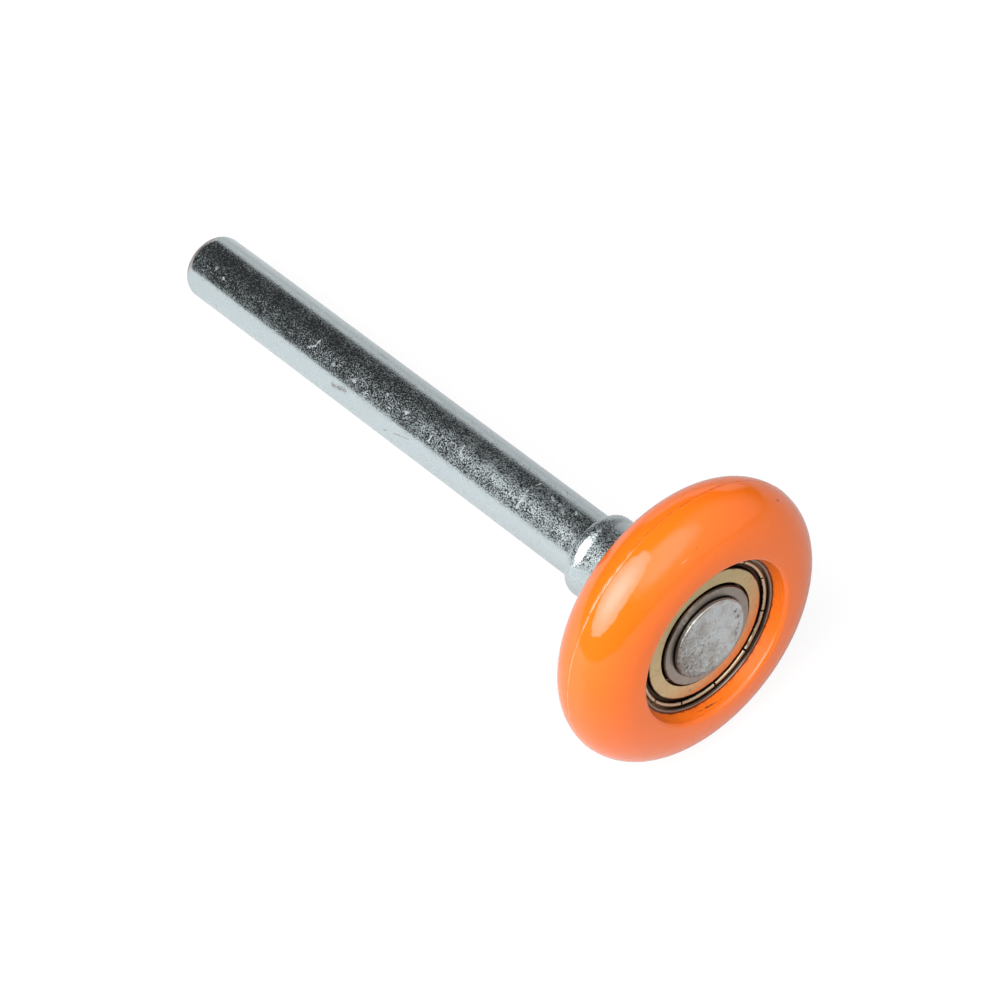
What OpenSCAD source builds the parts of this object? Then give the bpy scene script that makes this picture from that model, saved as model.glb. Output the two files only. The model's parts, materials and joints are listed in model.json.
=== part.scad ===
// Garage door roller: a plated steel stem, a sealed ball bearing riveted on its
// end, and a solid tyre moulded round the bearing. It lies at rest on the
// tyre's tread and the stem's far end.

/* [Stem] */
// Diameter of the plain shank, which slides in the door's roller bracket
shank_d = 11; // [10:0.1:13.2]
// Length of the shank, from its far end to the collar
shank_l = 93.6; // [60:0.1:180]
// Rounding of the shank's far end
tail_round = 2; // [0.5:0.1:3]
// Diameter of the collar behind the wheel
collar_d = 14; // [13.6:0.1:17]
// Length of the collar, up to the bearing
collar_l = 15.2; // [8:0.1:30]
// Length of the collar's rounded rear shoulder
shoulder_l = 1.4; // [0.5:0.1:3]
// Fullness of that shoulder: 2 is an ellipse, more is squarer
shoulder_power = 3; // [2:0.5:5]
// Fall from the shoulder's crest to the rest of the collar
bead_h = 0.26; // [0.1:0.02:0.4]
// Length of that fall
bead_l = 1.6; // [1:0.1:2.5]
// Diameter of the riveted head
head_d = 13.5; // [12.5:0.1:15]
// Height of the riveted head over the inner ring's face
head_h = 0.9; // [0.6:0.05:1.5]
// Rounding of the head's rim
head_round = 0.3; // [0.1:0.05:0.5]
// Depth of the undercut below the head's rim
head_undercut = 0.15; // [0.05:0.05:0.25]

/* [Bearing rings] */
// Bore of the bearing, which is also the stem's journal
bore_d = 10; // [8:0.1:12]
// Outside diameter of the bearing
bearing_od = 30; // [28:0.1:36]
// Width of the bearing
bearing_w = 9; // [8.5:0.1:11]
// Chamfer on the rings' corners
ring_chamfer = 0.6; // [0.2:0.05:0.8]
// Chamfer on the inner ring's shoulders and the outer ring's shield seats
land_chamfer = 0.2; // [0.1:0.05:0.3]
// Depth of the raceways below the lands beside them
race_depth = 1; // [0.7:0.05:1.2]
// Radius of a raceway's groove over the ball's own radius
race_conformity = 1.04; // [1.02:0.01:1.08]

/* [Balls and cage] */
// Diameter of a ball
ball_d = 4.76; // [4:0.02:5.7]
// Number of balls
ball_count = 8; // [6:1:8]
// Clearance between a ball and each raceway
race_gap = 0.06; // [0.03:0.01:0.1]
// Clearance between a ball and its pocket
pocket_gap = 0.08; // [0.05:0.01:0.1]
// Thickness of the cage's sheet
cage_t = 0.5; // [0.3:0.05:0.6]
// Clearance between the cage and the rings' lands
cage_side_gap = 0.5; // [0.3:0.05:0.6]
// Clearance between the cage and the shields' channels
cage_shield_gap = 0.15; // [0.1:0.05:0.3]
// Diameter of a cage rivet
rivet_d = 0.9; // [0.6:0.05:1]
// Diameter of a cage rivet's heads
rivet_head_d = 1.5; // [1.2:0.05:1.6]
// Height of a cage rivet's heads
rivet_head_h = 0.3; // [0.2:0.05:0.4]

/* [Shields] */
// Thickness of the shield's sheet
shield_t = 0.25; // [0.2:0.05:0.35]
// Depth of the shield's flat below the rings' faces
shield_recess = 0.4; // [0.2:0.05:0.6]
// Clearance between the shield's hole and the inner ring
shield_gap = 0.38; // [0.3:0.02:0.6]
// Fall of the flat from its hole to its edge
shield_dish = 0.12; // [0:0.02:0.2]
// Width of the pressed channel round the flat
channel_w = 0.75; // [0.5:0.05:1]
// Depth of the channel's floor below the flat
channel_depth = 0.6; // [0.4:0.05:0.8]
// Width of the crimped rim
rim_w = 0.7; // [0.5:0.05:0.9]
// Gap between the rim and its seat in the outer ring
rim_gap = 0.18; // [0.1:0.02:0.3]
// Number of slits round the rim
slit_count = 11; // [6:1:16]
// Width of a slit
slit_w = 0.35; // [0.2:0.05:0.6]
// Height that a slit stops over the channel's floor
slit_floor = 0.05; // [0.02:0.01:0.15]
// Angle of the first slit round the axle
slit_phase = 3.8; // [0:0.1:36]
// Width of the outer ring's ledge that the shield sits on
ledge_w = 1.42; // [1.1:0.02:1.7]
// Depth of the undercut that the rim's foot is crimped into
seat_undercut = 0.2; // [0.1:0.05:0.3]
// Height of the rim's foot
foot_h = 0.45; // [0.3:0.05:0.6]

/* [Tyre] */
// Diameter over the tread
tyre_d = 47.5; // [42:0.1:60]
// Width of the tyre
tyre_w = 13.56; // [11.3:0.02:16.3]
// Height of the tread's oval, from its flanks to its crown
crown_h = 8.44; // [7:0.02:10]
// Cover of the tyre's lips over the outer ring's faces
lip_cover = 1.5; // [1:0.05:1.8]
// Flare of the mouth, from the bearing to the lip
mouth_flare = 0.5; // [0:0.05:0.7]
// Rounding of the mouth's lip
lip_round = 0.7; // [0.3:0.05:1]
// Height of the parting seam
seam_h = 0.06; // [0.02:0.01:0.1]
// Width of the parting seam
seam_w = 0.3; // [0.1:0.05:0.5]

/* [Hidden] */
$fn = 96;
eps = 0.01;

zinc = [0.74, 0.77, 0.79];
steel = [0.62, 0.6, 0.57];
passivated = [0.76, 0.69, 0.48];
orange = [0.98, 0.5, 0.12];

// Each piece is drawn about the axle as +Z, with the bearing's centre at z = 0
// and the riveted head on the +Z side.
face_z = bearing_w / 2;
shank_r = shank_d / 2;
collar_r = collar_d / 2;
head_r = head_d / 2;
collar_z = -face_z - collar_l;
tail_z = collar_z - shank_l;

ball_r = ball_d / 2;
race_r = ball_r * race_conformity;
pitch_r = (bore_d + bearing_od) / 4;
inner_race_r = pitch_r - ball_r - race_gap;
outer_race_r = pitch_r + ball_r + race_gap;
inner_land_r = inner_race_r + race_depth;
outer_land_r = outer_race_r - race_depth;
ball_step = 360 / ball_count;
pocket_r = ball_r + pocket_gap;

seat_r = outer_land_r + ledge_w;
foot_r = seat_r + seat_undercut;
rim_r = seat_r - rim_gap;
rim_inner_r = rim_r - rim_w;
flat_r = rim_inner_r - channel_w;
shield_z = face_z - shield_recess;
ledge_z = shield_z - channel_depth - shield_t;

cage_inner_r = inner_land_r + cage_side_gap;
cage_outer_r = min(outer_land_r - cage_side_gap, flat_r - shield_t - cage_shield_gap);

tyre_r = tyre_d / 2;
tyre_half_w = tyre_w / 2;
crown_r = tyre_r - seam_h - crown_h;
mouth_r = bearing_od / 2 - lip_cover;
oval_steps = 40;
arc_steps = 12;

// The roller leans until its tail and its tread touch the ground together.
// At a lean a, the tread's support is tread_drop(a) below the bearing's centre
// and the tail's is tail_drop(a) below the centre of its own rounding.
tail_core_r = shank_r - tail_round;
lean_span = -(tail_z + tail_round);
function tread_drop(a) = crown_r * cos(a) + norm([crown_h * cos(a), tyre_half_w * sin(a)]);
function tail_drop(a) = tail_core_r * cos(a) + tail_round;
function lean_angle(a, steps) =
    steps == 0 ? a : lean_angle(asin((tread_drop(a) - tail_drop(a)) / lean_span), steps - 1);
lean = lean_angle(0, 12);
tail_reach = lean_span * cos(lean) + tail_core_r * sin(lean) + tail_round;
front_reach = crown_r * sin(lean) + norm([tyre_half_w * cos(lean), crown_h * sin(lean)]);

// Points on an arc of radius r about [x, y], from angle a to angle b
function arc(x, y, r, a, b) =
    [for (i = [0:arc_steps]) let (t = a + (b - a) * i / arc_steps) [x + r * cos(t), y + r * sin(t)]];

// From the axle's own axes to the lying pose, centred over the ground
module at_rest() {
    translate([(tail_reach - front_reach) / 2, 0, tread_drop(lean)])
        rotate([0, 90 - lean, 0])
            children();
}

module at_balls(offset_angle = 0) {
    for (i = [0:ball_count - 1])
        rotate([0, 0, i * ball_step + offset_angle])
            translate([pitch_r, 0, 0])
                children();
}

// ---- Stem ----

module shank_section() {
    polygon(concat(
        [[0, tail_z]],
        arc(tail_core_r, tail_z + tail_round, tail_round, -90, 0),
        [[shank_r, collar_z + shoulder_l], [0, collar_z + shoulder_l]]
    ));
}

// The rear shoulder is a superellipse from the shank's skin to the collar's
// crest, which then falls away in a soft wave
module collar_section() {
    rise = collar_r - shank_r;
    shoulder = [
        for (i = [0:oval_steps])
            let (
                t = 90 * i / oval_steps,
                along = 1 - pow(cos(t), 2 / shoulder_power),
                up = pow(sin(t), 2 / shoulder_power)
            )
            [shank_r + rise * up, collar_z + shoulder_l * along]
    ];
    bead = [
        for (i = [1:arc_steps])
            let (share = i / arc_steps)
            [
                collar_r - bead_h * (1 - cos(180 * share)) / 2,
                collar_z + shoulder_l + bead_l * share
            ]
    ];
    polygon(concat([[0, collar_z]], shoulder, bead, [[collar_r - bead_h, -face_z], [0, -face_z]]));
}

module head_section() {
    polygon(concat(
        [[0, face_z], [head_r - head_undercut, face_z], [head_r, face_z + head_undercut]],
        arc(head_r - head_round, face_z + head_h - head_round, head_round, 0, 90),
        [[0, face_z + head_h]]
    ));
}

module stem() {
    color(zinc)
        at_rest()
            rotate_extrude() {
                shank_section();
                collar_section();
                translate([0, -face_z - eps])
                    square([bore_d / 2, bearing_w + 2 * eps]);
                head_section();
            }
}

// ---- Bearing ----

// Half section of a ring between two radii, with a chamfer on each edge
module ring_section(inner_r, outer_r, inner_chamfer, outer_chamfer) {
    polygon([
        [inner_r + inner_chamfer, -face_z],
        [outer_r - outer_chamfer, -face_z],
        [outer_r, -face_z + outer_chamfer],
        [outer_r, face_z - outer_chamfer],
        [outer_r - outer_chamfer, face_z],
        [inner_r + inner_chamfer, face_z],
        [inner_r, face_z - inner_chamfer],
        [inner_r, -face_z + inner_chamfer]
    ]);
}

module inner_ring() {
    color(steel)
        at_rest()
            rotate_extrude()
                difference() {
                    ring_section(bore_d / 2, inner_land_r, ring_chamfer, land_chamfer);
                    translate([inner_race_r + race_r, 0])
                        circle(race_r);
                }
}

// The step and undercut that hold one shield, on the +Z side
module shield_seat_section() {
    translate([0, ledge_z])
        square([seat_r, bearing_w]);
    translate([0, ledge_z])
        square([foot_r, foot_h]);
    polygon([
        [0, face_z - land_chamfer],
        [seat_r, face_z - land_chamfer],
        [seat_r + land_chamfer + eps, face_z + eps],
        [0, face_z + eps]
    ]);
}

module outer_ring() {
    color(steel)
        at_rest()
            rotate_extrude()
                difference() {
                    ring_section(outer_land_r, bearing_od / 2, land_chamfer, ring_chamfer);
                    translate([outer_race_r - race_r, 0])
                        circle(race_r);
                    shield_seat_section();
                    mirror([0, 1])
                        shield_seat_section();
                }
}

module ball(number) {
    color("silver")
        at_rest()
            rotate([0, 0, (number - 1) * ball_step])
                translate([pitch_r, 0, 0])
                    sphere(ball_r);
}

// One half of the ribbon cage: a flat ribbon between the balls and a spherical
// pocket over each of them, cut to the band between the inner ring's land and
// the shields' channels and faced flat under the rivets' heads
module cage_half() {
    reach = pocket_r + cage_t;
    difference() {
        intersection() {
            cylinder(h = 2 * reach, r = cage_outer_r);
            union() {
                translate([0, 0, cage_t - reach])
                    cylinder(h = reach, r = bearing_od / 2);
                at_balls()
                    sphere(reach);
            }
        }
        translate([0, 0, -reach])
            cylinder(h = 3 * reach, r = cage_inner_r);
        at_balls()
            sphere(pocket_r);
        at_balls(ball_step / 2) {
            cylinder(h = 4 * cage_t, d = rivet_d, center = true);
            translate([0, 0, cage_t])
                cylinder(h = reach, d = rivet_head_d);
        }
    }
}

module cage_front() {
    color(steel)
        at_rest()
            cage_half();
}

module cage_rear() {
    color(steel)
        at_rest()
            mirror([0, 0, 1])
                cage_half();
}

module cage_rivets() {
    color(steel)
        at_rest()
            at_balls(ball_step / 2) {
                cylinder(h = 2 * cage_t, d = rivet_d, center = true);
                translate([0, 0, cage_t])
                    cylinder(h = rivet_head_h, d = rivet_head_d);
                translate([0, 0, -cage_t - rivet_head_h])
                    cylinder(h = rivet_head_h, d = rivet_head_d);
            }
}

// Half section of a shield: a dished flat, a channel pressed down to the outer
// ring's ledge, and a rounded rim over it with a foot in the undercut
module shield_section() {
    bead_r = rim_w / 2;
    bend = channel_w / 4;
    floor_z = ledge_z + shield_t;
    polygon(concat(
        [
            [inner_land_r + shield_gap, shield_z],
            [flat_r, shield_z - shield_dish],
            [flat_r + bend, floor_z],
            [rim_inner_r, floor_z]
        ],
        arc(rim_inner_r + bead_r, shield_z - bead_r, bead_r, 180, 0),
        [
            [rim_r, ledge_z + foot_h],
            [foot_r, ledge_z + foot_h],
            [foot_r, ledge_z],
            [flat_r + bend - shield_t, ledge_z],
            [flat_r - shield_t, shield_z - shield_dish - shield_t],
            [inner_land_r + shield_gap, shield_z - shield_t]
        ]
    ));
}

module shield() {
    difference() {
        rotate_extrude()
            shield_section();
        for (i = [0:slit_count - 1])
            rotate([0, 0, slit_phase + i * 360 / slit_count])
                translate([rim_inner_r - channel_w / 4, -slit_w / 2, ledge_z + shield_t + slit_floor])
                    cube([bearing_od, slit_w, bearing_w]);
    }
}

module shield_front() {
    color(passivated)
        at_rest()
            shield();
}

module shield_rear() {
    color(passivated)
        at_rest()
            mirror([0, 0, 1])
                shield();
}

// ---- Tyre ----

// The solid oval that the tyre is cut from, with its parting seam
module oval_section() {
    tread = [
        for (i = [0:2 * oval_steps])
            let (t = -90 + 90 * i / oval_steps)
            [crown_r + crown_h * cos(t), tyre_half_w * sin(t)]
    ];
    polygon(concat([[0, -tyre_half_w]], tread, [[0, tyre_half_w]]));
    polygon([
        [crown_r, -seam_w / 2],
        [tyre_r - seam_h, -seam_w / 2],
        [tyre_r, -seam_w / 4],
        [tyre_r, seam_w / 4],
        [tyre_r - seam_h, seam_w / 2],
        [crown_r, seam_w / 2]
    ]);
}

// Height of the oval's flank at radius x
function flank_z(x) = tyre_half_w * sqrt(1 - pow(max(0, x - crown_r) / crown_h, 2));

// The flared opening that shows the bearing, on the +Z side
module mouth_section() {
    lip_x = mouth_r + mouth_flare + lip_round;
    lip_z = flank_z(lip_x);
    polygon(concat(
        [[0, 0], [mouth_r, 0], [mouth_r, face_z]],
        arc(lip_x, lip_z - lip_round, lip_round, 180, 90),
        [[lip_x, tyre_half_w + 1], [0, tyre_half_w + 1]]
    ));
}

module tyre() {
    color(orange)
        at_rest()
            rotate_extrude()
                difference() {
                    oval_section();
                    ring_section(0, bearing_od / 2, 0, ring_chamfer);
                    mouth_section();
                    mirror([0, 1])
                        mouth_section();
                }
}

// ---- The roller ----

stem();
inner_ring();
outer_ring();
cage_front();
cage_rear();
cage_rivets();
shield_front();
shield_rear();
tyre();
for (i = [1:ball_count])
    ball(i);
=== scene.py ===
import json
import math
import random

import bpy
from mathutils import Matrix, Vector, noise


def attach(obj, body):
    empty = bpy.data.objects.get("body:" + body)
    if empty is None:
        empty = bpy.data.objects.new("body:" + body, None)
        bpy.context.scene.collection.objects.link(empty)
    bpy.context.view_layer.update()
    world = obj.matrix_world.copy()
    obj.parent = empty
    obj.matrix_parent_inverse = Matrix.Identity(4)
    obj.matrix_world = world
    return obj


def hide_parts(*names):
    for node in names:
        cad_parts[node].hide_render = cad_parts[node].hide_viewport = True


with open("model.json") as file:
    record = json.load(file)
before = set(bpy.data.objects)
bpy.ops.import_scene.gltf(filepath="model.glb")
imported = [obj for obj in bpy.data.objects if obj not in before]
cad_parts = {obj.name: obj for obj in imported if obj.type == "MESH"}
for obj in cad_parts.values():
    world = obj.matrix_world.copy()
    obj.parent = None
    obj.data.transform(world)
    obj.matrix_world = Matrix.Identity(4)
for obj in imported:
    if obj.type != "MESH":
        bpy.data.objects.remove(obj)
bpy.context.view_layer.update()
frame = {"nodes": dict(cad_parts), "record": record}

print("frame loaded:", len(frame["nodes"]), "nodes")

# The garage door roller's looks. The pieces' sizes are in millimetres, out from
# the axle and along it from the bearing's centre. The camera's and the studio's
# are in metres.
mm = 0.001
random.seed(11)

wheelSpin = next(j for j in frame["record"]["behaviour"]["joints"] if j["name"] == "wheel_spin")
axleCentre = Vector(wheelSpin["pos_m"])
axleWay = Vector(wheelSpin["axis"]).normalized()  # from the tail towards the riveted head
sideWay = Vector((0, 1, 0))
downWay = sideWay.cross(axleWay)


def onAxle(radius, turn, along):
    return axleCentre + mm * (
        radius * math.cos(turn) * downWay + radius * math.sin(turn) * sideWay + along * axleWay
    )


def addObject(name, data):
    made = bpy.data.objects.new(name, data)
    bpy.context.scene.collection.objects.link(made)
    return made


def addMesh(name, points, faces):
    mesh = bpy.data.meshes.new(name)
    mesh.from_pydata(points, [], faces)
    return addObject(name, mesh)


# The camera, looking down on the roller from its head's side
cameraView = {
    "place": (0.286656, -0.249476, 0.525826),
    "aim": (0.012702, -0.001934, 0.015641),
    "lens": 148.2,
    "sensor": 36.0,
}


def addCamera(values):
    data = bpy.data.cameras.new("camera")
    data.lens = values["lens"]
    data.sensor_width = values["sensor"]
    data.clip_start = 0.01
    data.clip_end = 20
    camera = addObject("camera", data)
    camera.location = values["place"]
    look = Vector(values["aim"]) - Vector(values["place"])
    camera.rotation_mode = "QUATERNION"
    camera.rotation_quaternion = look.to_track_quat("-Z", "Y")
    bpy.context.scene.camera = camera


addCamera(cameraView)
print("camera set")


# A new node in a shader's tree, with its own settings
def addNode(tree, kind, **settings):
    made = tree.nodes.new(kind)
    for key, value in settings.items():
        setattr(made, key, value)
    return made


# Puts a plain value, or another node's output, into a socket
def feed(tree, socket, value):
    if isinstance(value, bpy.types.NodeSocket):
        tree.links.new(value, socket)
    elif hasattr(socket.default_value, "__len__") and len(value) < len(socket.default_value):
        socket.default_value = (*value, 1.0)
    else:
        socket.default_value = value


def maths(tree, how, first, second=0.0):
    made = addNode(tree, "ShaderNodeMath", operation=how)
    feed(tree, made.inputs[0], first)
    feed(tree, made.inputs[1], second)
    return made.outputs[0]


def chain(tree, how, total, *others):
    for other in others:
        total = maths(tree, how, total, other)
    return total


def addUp(tree, *numbers):
    return chain(tree, "ADD", *numbers)


def times(tree, *numbers):
    return chain(tree, "MULTIPLY", *numbers)


def strongest(tree, *numbers):
    return chain(tree, "MAXIMUM", *numbers)


def vectorMaths(tree, how, first, second=(0.0, 0.0, 0.0)):
    made = addNode(tree, "ShaderNodeVectorMath", operation=how)
    feed(tree, made.inputs[0], first)
    feed(tree, made.inputs[1], second)
    return made.outputs["Value" if how in ("DOT_PRODUCT", "LENGTH") else "Vector"]


def blendColours(tree, share, first, second):
    made = addNode(tree, "ShaderNodeMix", data_type="RGBA")
    feed(tree, made.inputs[0], share)
    feed(tree, made.inputs[6], first)
    feed(tree, made.inputs[7], second)
    return made.outputs[2]


# Lays a colour over another where mask says, and no more than share of it
def layOver(tree, colour, mask, share, over):
    return blendColours(tree, times(tree, mask, share), colour, over)


def joinParts(tree, first, second, third):
    made = addNode(tree, "ShaderNodeCombineXYZ")
    for socket, value in zip(made.inputs, (first, second, third)):
        feed(tree, socket, value)
    return made.outputs[0]


# Runs smoothly from start to end as value goes from low to high
def ease(tree, value, low, high, start=0.0, end=1.0):
    made = addNode(tree, "ShaderNodeMapRange", interpolation_type="SMOOTHSTEP")
    for name, number in (
        ("Value", value),
        ("From Min", low),
        ("From Max", high),
        ("To Min", start),
        ("To Max", end),
    ):
        feed(tree, made.inputs[name], number)
    return made.outputs["Result"]


# 1 between low and high, with soft sides
def band(tree, value, low, high, soft):
    rise = ease(tree, value, low - soft, low + soft)
    fall = ease(tree, value, high - soft, high + soft, 1.0, 0.0)
    return times(tree, rise, fall)


def noiseOf(tree, vector, scale, detail=2.0, roughness=0.5, distortion=0.0):
    made = addNode(tree, "ShaderNodeTexNoise")
    for name, value in (
        ("Vector", vector),
        ("Scale", scale),
        ("Detail", detail),
        ("Roughness", roughness),
        ("Distortion", distortion),
    ):
        feed(tree, made.inputs[name], value)
    return made.outputs["Fac"]


# Noise turned into patches, from start under low to end over high
def patchy(tree, place, low, high, start=0.0, end=1.0, **look):
    return ease(tree, noiseOf(tree, place, **look), low, high, start, end)


# Noise about zero, from half of height below it to half above
def swell(tree, place, height, **look):
    return times(tree, maths(tree, "SUBTRACT", noiseOf(tree, place, **look), 0.5), height)


# A shader group's tree, with inputs as labels and values, None for a place
def newGroup(name, inputs, outputs):
    tree = bpy.data.node_groups.new(name, "ShaderNodeTree")
    for label, value in inputs:
        kind = "NodeSocketVector" if value is None else "NodeSocketFloat"
        socket = tree.interface.new_socket(label, in_out="INPUT", socket_type=kind)
        if value is not None:
            socket.default_value = value
    for label in outputs:
        kind = "NodeSocketVector" if label == "Place" else "NodeSocketFloat"
        tree.interface.new_socket(label, in_out="OUTPUT", socket_type=kind)
    return tree, addNode(tree, "NodeGroupInput").outputs, addNode(tree, "NodeGroupOutput").inputs


def useGroup(tree, group, **values):
    made = addNode(tree, "ShaderNodeGroup", node_tree=group)
    for label, value in values.items():
        feed(tree, made.inputs[label], value)
    return made.outputs


# Where a point lies about the axle, in millimetres
def buildAxlePlace():
    tree, _, out = newGroup("axlePlace", [], ["Place", "Radius", "Along", "Down", "Side"])
    point = addNode(tree, "ShaderNodeTexCoord").outputs["Object"]
    offset = vectorMaths(tree, "SUBTRACT", point, tuple(axleCentre))
    parts = [
        vectorMaths(tree, "DOT_PRODUCT", offset, tuple(way / mm))
        for way in (downWay, sideWay, axleWay)
    ]
    joined = joinParts(tree, parts[0], parts[1], parts[2])
    flat = joinParts(tree, parts[0], parts[1], 0.0)
    tree.links.new(joined, out["Place"])
    tree.links.new(vectorMaths(tree, "LENGTH", flat), out["Radius"])
    tree.links.new(parts[2], out["Along"])
    tree.links.new(parts[0], out["Down"])
    tree.links.new(parts[1], out["Side"])
    return tree


# Fine pitting, as a height about zero; Size is the pits' spacing
def buildPitting():
    tree, given, out = newGroup(
        "pitting", [("Place", None), ("Size", 0.3), ("Depth", 0.05)], ["Height"]
    )
    scale = maths(tree, "DIVIDE", 1.0, given["Size"])
    tree.links.new(swell(tree, given["Place"], given["Depth"], scale=scale), out["Height"])
    return tree


# Fine lines along the axle, as a height about zero; Run is their length over
# their width
def buildDrawnLines():
    tree, given, out = newGroup(
        "drawnLines", [("Place", None), ("Size", 0.3), ("Run", 12.0), ("Depth", 0.02)], ["Height"]
    )
    split = addNode(tree, "ShaderNodeSeparateXYZ")
    tree.links.new(given["Place"], split.inputs[0])
    along = maths(tree, "DIVIDE", split.outputs[2], given["Run"])
    stretched = joinParts(tree, split.outputs[0], split.outputs[1], along)
    scale = maths(tree, "DIVIDE", 1.0, given["Size"])
    height = swell(tree, stretched, given["Depth"], scale=scale, roughness=0.6)
    tree.links.new(height, out["Height"])
    return tree


# Broken circles round the axle, as a height about zero and as thin lines
def buildTurnedLines():
    tree, given, out = newGroup(
        "turnedLines",
        [("Place", None), ("Radius", 0.0), ("Along", 0.0), ("Size", 0.2), ("Depth", 0.01)],
        ["Height", "Mask"],
    )
    scale = maths(tree, "DIVIDE", 1.0, given["Size"])
    across = joinParts(tree, given["Radius"], given["Along"], 0.0)
    value = noiseOf(tree, across, scale, roughness=0.6)
    broken = patchy(tree, given["Place"], scale=0.35, detail=1.0, low=0.35, high=0.6)
    centred = maths(tree, "SUBTRACT", value, 0.5)
    tree.links.new(times(tree, centred, broken, given["Depth"]), out["Height"])
    thin = ease(tree, value, low=0.52, high=0.66)
    tree.links.new(times(tree, thin, broken), out["Mask"])
    return tree


# Sparse round specks; Share is how much of the cells hold one
def buildSpecks():
    tree, given, out = newGroup(
        "specks", [("Place", None), ("Spacing", 3.0), ("Size", 0.1), ("Share", 0.3)], ["Mask"]
    )
    cells = addNode(tree, "ShaderNodeTexVoronoi")
    tree.links.new(given["Place"], cells.inputs["Vector"])
    tree.links.new(maths(tree, "DIVIDE", 1.0, given["Spacing"]), cells.inputs["Scale"])
    reach = maths(tree, "DIVIDE", given["Size"], given["Spacing"])
    edge = times(tree, reach, 1.4)  # where a speck's soft rim ends
    dot = ease(tree, cells.outputs["Distance"], 0.0, edge, start=1.0, end=0.0)
    pick = addNode(tree, "ShaderNodeSeparateColor")
    tree.links.new(cells.outputs["Color"], pick.inputs[0])
    chosen = maths(tree, "LESS_THAN", pick.outputs[0], given["Share"])
    tree.links.new(times(tree, dot, chosen), out["Mask"])
    return tree


# One ragged mark from Start to End, Half wide to each side; Ragged is noise
# that makes it wider or narrower
def buildScore():
    tree, given, out = newGroup(
        "score",
        [("Place", None), ("Start", None), ("End", None), ("Half", 0.1), ("Ragged", 0.5)],
        ["Mask"],
    )
    run = vectorMaths(tree, "SUBTRACT", given["End"], given["Start"])
    gone = vectorMaths(tree, "SUBTRACT", given["Place"], given["Start"])
    share = maths(
        tree,
        "DIVIDE",
        vectorMaths(tree, "DOT_PRODUCT", gone, run),
        vectorMaths(tree, "DOT_PRODUCT", run, run),
    )
    share = maths(tree, "MINIMUM", maths(tree, "MAXIMUM", share, 0.0), 1.0)
    nearest = addNode(tree, "ShaderNodeVectorMath", operation="SCALE")
    tree.links.new(run, nearest.inputs[0])
    tree.links.new(share, nearest.inputs["Scale"])
    off = vectorMaths(tree, "LENGTH", vectorMaths(tree, "SUBTRACT", gone, nearest.outputs[0]))
    width = ease(tree, given["Ragged"], low=0.3, high=0.7, start=0.1, end=2.2)
    reach = times(tree, given["Half"], width)
    solid = times(tree, reach, 0.5)
    tree.links.new(ease(tree, off, solid, reach, start=1.0, end=0.0), out["Mask"])
    return tree


axlePlace = buildAxlePlace()
pitting = buildPitting()
drawnLines = buildDrawnLines()
turnedLines = buildTurnedLines()
specks = buildSpecks()
score = buildScore()
print("shared effects built")


def newMaterial(name):
    material = bpy.data.materials.new(name)
    material.use_nodes = True
    tree = material.node_tree
    shader = tree.nodes["Principled BSDF"]
    return material, tree, shader


# Joins a finish's colour, roughness and height in millimetres to its shader
def wireUp(tree, shader, colour, rough, height, metallic):
    tree.links.new(colour, shader.inputs["Base Color"])
    tree.links.new(rough, shader.inputs["Roughness"])
    shader.inputs["Metallic"].default_value = metallic
    bump = addNode(tree, "ShaderNodeBump")
    bump.inputs["Strength"].default_value = 1.0
    bump.inputs["Distance"].default_value = mm
    tree.links.new(height, bump.inputs["Height"])
    tree.links.new(bump.outputs["Normal"], shader.inputs["Normal"])


# Several marks together, each given by the turn and place of its two ends and
# its half width, all on a surface of the given radius
def marksOn(tree, place, radius, marks):
    masks = []
    ragged = noiseOf(tree, place, scale=4.5, roughness=0.6)
    for firstTurn, firstAlong, lastTurn, lastAlong, half in marks:
        ends = []
        for turn, along in ((firstTurn, firstAlong), (lastTurn, lastAlong)):
            angle = math.radians(turn)
            ends.append((radius * math.cos(angle), radius * math.sin(angle), along))
        mark = useGroup(
            tree, score, Place=place, Start=ends[0], End=ends[1], Half=half, Ragged=ragged
        )
        masks.append(mark["Mask"])
    return strongest(tree, *masks)


# A piece turned about the axle from a profile of (radius, along) points. shape
# moves each point of the skin, and closed joins the profile's ends.
def turnPiece(name, profile, steps, closed, shape):
    points = []
    rings = []
    for radius, along in profile:
        count = steps if radius > 1e-6 else 1  # a single point on the axle itself
        rings.append(list(range(len(points), len(points) + count)))
        for i in range(count):
            turn = 2 * math.pi * i / steps
            movedRadius, movedAlong = shape(radius, turn, along)
            points.append(onAxle(movedRadius, turn, movedAlong))
    faces = []
    pairs = list(zip(rings, rings[1:]))
    if closed:
        pairs.append((rings[-1], rings[0]))
    for low, high in pairs:
        for i in range(steps):
            j = (i + 1) % steps
            if len(low) == 1:
                faces.append((low[0], high[j], high[i]))
            elif len(high) == 1:
                faces.append((low[i], low[j], high[0]))
            else:
                faces.append((low[i], low[j], high[j], high[i]))
    piece = addMesh(name, points, faces)
    piece.data.validate()
    piece.data.shade_smooth()
    piece.data.set_sharp_from_angle(angle=math.radians(40))
    return piece


# An arc about (x, y), between two angles in degrees
def arcPoints(x, y, r, first, last, steps):
    turns = [math.radians(first + (last - first) * i / steps) for i in range(steps + 1)]
    return [(x + r * math.cos(turn), y + r * math.sin(turn)) for turn in turns]


def straight(first, last, steps):
    return [
        (
            first[0] + (last[0] - first[0]) * i / steps,
            first[1] + (last[1] - first[1]) * i / steps,
        )
        for i in range(1, steps + 1)
    ]


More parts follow.
